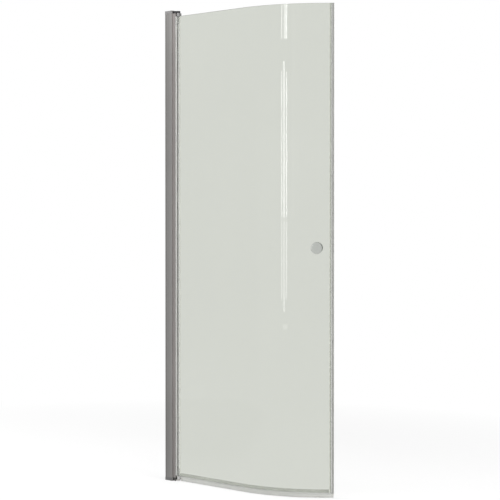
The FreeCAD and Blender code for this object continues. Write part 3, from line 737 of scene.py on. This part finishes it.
def clear_glass():
    """Toughened glass: clear faces, and edges with the satin of the grinding wheel."""
    material, tree, shader = finish_of("clear_glass", Transmission_Weight=1.0, IOR=1.5, Metallic=0.0)
    edge = use(tree, LEVEL_FACES, Tilt=0.5)
    ground = maths(tree, "MULTIPLY", edge.outputs["Mask"], GROUND_ROUGHNESS)
    surfaced(tree, shader, toned(tree, GLASS_TONE, patches=2.0, amount=0.008), ground)
    body = tree.nodes.new("ShaderNodeVolumeAbsorption")
    body.inputs["Color"].default_value = (*GLASS_BODY, 1)
    body.inputs["Density"].default_value = GLASS_DENSITY
    feed(tree, body.outputs[0], node_of(tree, "OUTPUT_MATERIAL").inputs["Volume"])
    return material


def satin_knob_metal():
    """Satin metal with the rings that turning leaves."""
    material, tree, shader = finish_of("satin_knob_metal", Metallic=0.95)
    rings = use(tree, TURNED_RINGS, Rings_per_Metre=1800.0)
    clean = toned(tree, KNOB_TONE, patches=60.0, amount=0.03)
    lined = mixed(tree, rings.outputs["Rings"], lit(tree, clean, gain=0.92), clean)
    surfaced(tree, shader, lined, level_at(tree, rings.outputs["Rings"], first=0.36, last=0.28))
    bump(tree, shader, rings.outputs["Height"], depth=0.00004)
    return material


def slot_finishes():
    """A finish for each slot of the record, but for those whose pieces all have their own."""
    return {
        "channel_aluminium": drawn_metal(
            "channel_aluminium", colour=(0.268, 0.262, 0.255), roughness=0.40, painted_shades=CHANNEL_PAINTED_SHADES),
        "jamb_aluminium": drawn_metal(
            "jamb_aluminium", colour=(0.325, 0.305, 0.296), roughness=0.38, painted_shades=JAMB_PAINTED_SHADES),
        "grey_cap_plastic": moulding(
            "grey_cap_plastic", colour=(0.27, 0.265, 0.265), roughness=0.5, grain=2500.0, depth=0.00002,
            painted_shades=CAP_PAINTED_SHADES),
        "dark_gasket_rubber": moulding(
            "dark_gasket_rubber", colour=(0.30, 0.285, 0.275), roughness=0.65, grain=3000.0, depth=0.00002),
        "stainless_steel": metal_fitting("stainless_steel", colour=(0.45, 0.44, 0.42), roughness=0.28),
        "screw_steel": metal_fitting("screw_steel", colour=(0.5, 0.49, 0.47), roughness=0.25),
        "white_acetal": moulding(
            "white_acetal", colour=(0.72, 0.71, 0.68), roughness=0.4, grain=3000.0, depth=0.00001),
        "clear_glass": clear_glass(),
        "rigid_clear_seal": clear_seal(
            "rigid_clear_seal", colour=(0.82, 0.83, 0.80), roughness=0.10, clearness=0.9, index=1.3,
            run=LEVEL_RUN),
        "magnet_rubber": moulding(
            "magnet_rubber", colour=(0.60, 0.60, 0.59), roughness=0.6, grain=2500.0, depth=0.00002),
        "satin_knob_metal": satin_knob_metal(),
        "washer_plastic": moulding(
            "washer_plastic", colour=(0.6, 0.61, 0.58), roughness=0.4, grain=3000.0, depth=0.00001),
    }


def own_finishes():
    """The finishes of the pieces that have their own copy of what their slot names, painted lighter or
    darker for the light and shade on them.
    """
    return {
        "hinge_profile": clear_seal(
            "hinge_clear_seal", colour=CLEAR_STRIP_TONE, roughness=0.06, clearness=0.98, index=1.15,
            run=UPRIGHT_RUN, painted_shades=HINGE_PAINTED_SHADES),
        "closing_clip": clear_seal(
            "closing_clear_seal", colour=CLEAR_STRIP_TONE, roughness=0.06, clearness=0.98, index=1.15,
            run=UPRIGHT_RUN, painted_shades=CLOSING_PAINTED_SHADES),
        "cup_seal": clear_seal(
            "cup_clear_seal", colour=(0.93, 0.935, 0.90), roughness=0.32, clearness=0.2, index=1.5,
            run=UPRIGHT_RUN, painted_shades=CUP_PAINTED_SHADES),
        "drip_fin": clear_seal(
            "fin_clear_seal", colour=(0.76, 0.765, 0.73), roughness=0.32, clearness=0.25, index=1.5,
            run=LEVEL_RUN, painted_shades=FIN_PAINTED_SHADES),
        # The top and bottom arms are one black nylon, painted in two tones for the light and shade on them.
        "top_bracket": moulding(
            "top_bracket_nylon", colour=(0.022, 0.022, 0.024), roughness=0.45, grain=2000.0,
            depth=0.00003, painted_shades=TOP_BRACKET_PAINTED_SHADES),
        "bottom_bracket": moulding(
            "bottom_bracket_nylon", colour=(0.060, 0.058, 0.056), roughness=0.45, grain=2000.0,
            depth=0.00003),
        # The top and bottom fittings are one zinc, painted in two tones for the light and shade on them.
        "top_end_fitting": metal_fitting(
            "top_fitting_zinc", colour=(0.36, 0.36, 0.36), roughness=0.38, painted_shades=TOP_FITTING_PAINTED_SHADES),
        "bottom_end_fitting": metal_fitting(
            "bottom_fitting_zinc", colour=(0.54, 0.54, 0.53), roughness=0.38, painted_shades=BOTTOM_FITTING_PAINTED_SHADES),
    }


# ---- Studio ----
def seen_by_camera(tree):
    """One for what the camera sees, straight, mirrored or through glass; zero for plain light."""
    path = tree.nodes.new("ShaderNodeLightPath")
    seen = maths(tree, "MAXIMUM", path.outputs["Is Camera Ray"], path.outputs["Is Glossy Ray"])
    return maths(tree, "MAXIMUM", seen, path.outputs["Is Transmission Ray"])


def studio_finish(name):
    """A new material with no shader yet, its tree and the socket that its surface goes into."""
    material = bpy.data.materials.new(name)
    material.use_nodes = True
    tree = material.node_tree
    tree.nodes.remove(node_of(tree, "BSDF_PRINCIPLED"))
    return material, tree, node_of(tree, "OUTPUT_MATERIAL").inputs["Surface"]


def glow(tree, strength):
    """White light of the strength given."""
    node = tree.nodes.new("ShaderNodeEmission")
    feed(tree, strength, node.inputs["Strength"])
    return node.outputs[0]


def matt(tree, tone):
    """A plain grey surface."""
    node = tree.nodes.new("ShaderNodeBsdfDiffuse")
    node.inputs["Color"].default_value = (tone, tone, tone, 1)
    return node.outputs[0]


def blended(tree, share, first, last):
    """The first shader where the share is zero, the last where it is one."""
    node = tree.nodes.new("ShaderNodeMixShader")
    for given, socket in zip((share, first, last), node.inputs):
        feed(tree, given, socket)
    return node.outputs[0]


def studio_world():
    """White where it is seen, and a plain level where it only lights."""
    world = bpy.data.worlds.new("studio")
    bpy.context.scene.world = world
    world.use_nodes = True
    tree = world.node_tree
    backdrop = node_of(tree, "BACKGROUND")
    backdrop.inputs["Color"].default_value = (1, 1, 1, 1)
    feed(tree, level_at(tree, seen_by_camera(tree), PLAIN_LEVEL, WHITE), backdrop.inputs["Strength"])


def floor_finish():
    """White to the camera, with the object's faint shadow near its foot; plain grey to other light."""
    material, tree, surface = studio_finish("floor")
    lifted = tree.nodes.new("ShaderNodeAddShader")
    feed(tree, matt(tree, FLOOR_TONE), lifted.inputs[0])
    feed(tree, glow(tree, FLOOR_LIFT), lifted.inputs[1])
    path = tree.nodes.new("ShaderNodeLightPath")
    mirrored = maths(tree, "MAXIMUM", path.outputs["Is Glossy Ray"], path.outputs["Is Transmission Ray"])
    far = tree.nodes.new("ShaderNodeVectorMath")
    far.operation = "LENGTH"
    feed(tree, tree.nodes.new("ShaderNodeNewGeometry").outputs["Position"], far.inputs[0])
    bare = maths(tree, "MAXIMUM", mirrored, share_of(tree, far.outputs["Value"], *SHADOW_FADES))
    seen = blended(tree, bare, lifted.outputs[0], glow(tree, WHITE))
    feed(tree, blended(tree, seen_by_camera(tree), matt(tree, FLOOR_BOUNCE), seen), surface)
    return material


def flat_square(name, half):
    """A flat square that reaches half its side each way from its middle."""
    bm = bmesh.new()
    bmesh.ops.create_grid(bm, x_segments=1, y_segments=1, size=half)
    mesh = bpy.data.meshes.new(name)
    bm.to_mesh(mesh)
    bm.free()
    return new_object(name, mesh)


def point_at(piece, place, aim, axis):
    """Puts a piece of the studio at a place, with one of its own axes towards the aim."""
    piece.location = place
    piece.rotation_euler = (Vector(aim) - Vector(place)).to_track_quat(axis, "Y").to_euler()


def studio_floor():
    """The floor, a little below the foot of the door."""
    floor = flat_square("floor", FLOOR_HALF)
    floor.location.z = -FLOOR_SINK
    floor.data.materials.append(floor_finish())


def lamp(name, place, aim, width, height, power):
    """A soft rectangular lamp that points at the aim, and that no mirror or glass shows."""
    light = bpy.data.lights.new(name, "AREA")
    light.shape = "RECTANGLE"
    light.size = width
    light.size_y = height
    light.energy = power
    piece = new_object(name, light)
    point_at(piece, place, aim, "-Z")
    piece.visible_glossy = False
    piece.visible_transmission = False


def card_mask(tree, parts, fade):
    """One over a card, falling to zero over the fade at its four edges, where a side counts as 1."""
    edges = []
    for across in parts.outputs[:2]:
        away = maths(tree, "ABSOLUTE", across)
        edges.append(share_of(tree, away, CARD_HALF, CARD_HALF - fade))
    return maths(tree, "MULTIPLY", *edges)


def studio_card(name, place, aim, size, levels, swell=1.0, fade=0.0):
    """A card that only mirrors show.

    It goes from the first level at its foot to the last at its head, later the more it swells.
    With a fade, its edges melt into the white of the studio.
    """
    card = flat_square(name, CARD_HALF)
    point_at(card, place, aim, "Z")
    card.scale = (*size, 1)
    card.visible_camera = False
    card.visible_diffuse = False
    card.visible_transmission = False
    card.visible_shadow = False
    material, tree, surface = studio_finish(name)
    parts = tree.nodes.new("ShaderNodeSeparateXYZ")
    feed(tree, place_on_piece(tree), parts.inputs[0])
    rise = maths(tree, "POWER", share_of(tree, parts.outputs[1], -CARD_HALF, CARD_HALF), swell)
    level = level_at(tree, rise, *levels)
    if fade:
        level = level_at(tree, card_mask(tree, parts, fade), WHITE, level)
    feed(tree, glow(tree, level), surface)
    card.data.materials.append(material)


def mirror_bar(name, place, stretch, level, distance=BAR_DISTANCE):
    """An upright bar of one level all over, facing the door."""
    x, width = place
    foot, head = stretch
    middle = (foot + head) / 2
    studio_card(name, (x, distance, middle), (x, 0, middle), (width, head - foot), (level, level))


def mirror_bars():
    """Three bars in three stretches, the ends below them, a veil behind them and two faint bars beside."""
    for side, bar in BARS.items():
        low_level = WHITE + (bar["level"] - WHITE) * LOW_SHARE
        mirror_bar(side + "_bar_top", bar["top_place"], TOP_STRETCH, bar["level"])
        mirror_bar(side + "_bar", bar["place"], (MAIN_FOOT, bar["head"]), bar["level"])
        mirror_bar(side + "_bar_low", bar["place"], LOW_STRETCH, low_level)
    mirror_bar("short_bar", BARS["middle"]["place"], SHORT_STRETCH, SHORT_LEVEL)
    mirror_bar("last_bar", LAST_PLACE, LAST_STRETCH, LAST_LEVEL)
    mirror_bar("veil_top", VEIL_PLACE, TOP_STRETCH, VEIL_LEVEL, VEIL_DISTANCE)
    mirror_bar("veil", VEIL_PLACE, VEIL_STRETCH, VEIL_LEVEL, VEIL_DISTANCE)
    mirror_bar("faint_bar_near", place=(1.24, 0.13), stretch=FAINT_STRETCH, level=1.2)
    mirror_bar("faint_bar_far", place=(1.45, 0.08), stretch=FAINT_STRETCH, level=1.15)


def studio():
    """A white studio with three soft lamps, and the cards and bars that the metal and the glass mirror."""
    bpy.context.scene.view_settings.view_transform = "Standard"
    studio_world()
    studio_floor()
    lamp("top_lamp", place=(0.5, -0.8, 3.4), aim=(0.4, 0, 1.0), width=2.5, height=2.5, power=45)
    lamp("left_lamp", place=(-2.8, -1.6, 1.6), aim=(0.3, 0, 0.95), width=1.0, height=2.2, power=70)
    lamp("right_lamp", place=(3.2, -0.3, 1.8), aim=(0.5, 0, 0.95), width=1.5, height=2.0, power=50)
    studio_card("left_card", place=(-1.6, -1.9, 1.7), aim=(0.03, 0, 1.7), size=(3.0, 3.6),
                levels=(0.83, 1.9), swell=3.5, fade=0.12)
    studio_card("floor_card", place=(-1.0, -1.3, 0.002), aim=(-1.0, -1.3, 1), size=(2.3, 2.4),
                levels=(0.74, 0.74), fade=0.2)
    studio_card("right_card", place=(2.35, 0.72, 1.50), aim=(0.7, 0.1, 1.50), size=(3.2, 3.4),
                levels=(0.0, 0.0), fade=0.22)
    mirror_bars()


def camera():
    """The camera at the photograph's viewing angle."""
    data = bpy.data.cameras.new("camera")
    data.lens = CAMERA_LENS
    data.sensor_width = CAMERA_SENSOR
    data.shift_y = CAMERA_SHIFT
    piece = new_object("camera", data)
    piece.location = CAMERA_PLACE
    piece.rotation_euler = (CAMERA_LEVEL - CAMERA_DIP, 0, CAMERA_TURN)
    bpy.context.scene.camera = piece


# ---- Assembly ----
def dress():
    """The pane and the knobs as finished pieces, and a finish on every solid."""
    by_slot, by_piece = slot_finishes(), own_finishes()
    pane = new_piece("glass_pane_fine", glass_pane_mesh(), "door", "clear_glass", "glass_pane")
    pane.data.materials.append(by_slot["clear_glass"])
    # The lamps shine through the pane, so it casts no shadow.
    pane.visible_shadow = False
    for name, side in (("outer_knob", DRY_SIDE), ("inner_knob", WET_SIDE)):
        knob(name, side).data.materials.append(by_slot["satin_knob_metal"])
    for name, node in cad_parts.items():
        for place in node.material_slots:
            slot = place.material.name.split(".")[0]
            place.material = by_piece.get(name) or by_slot[slot]


dress()
studio()
camera()
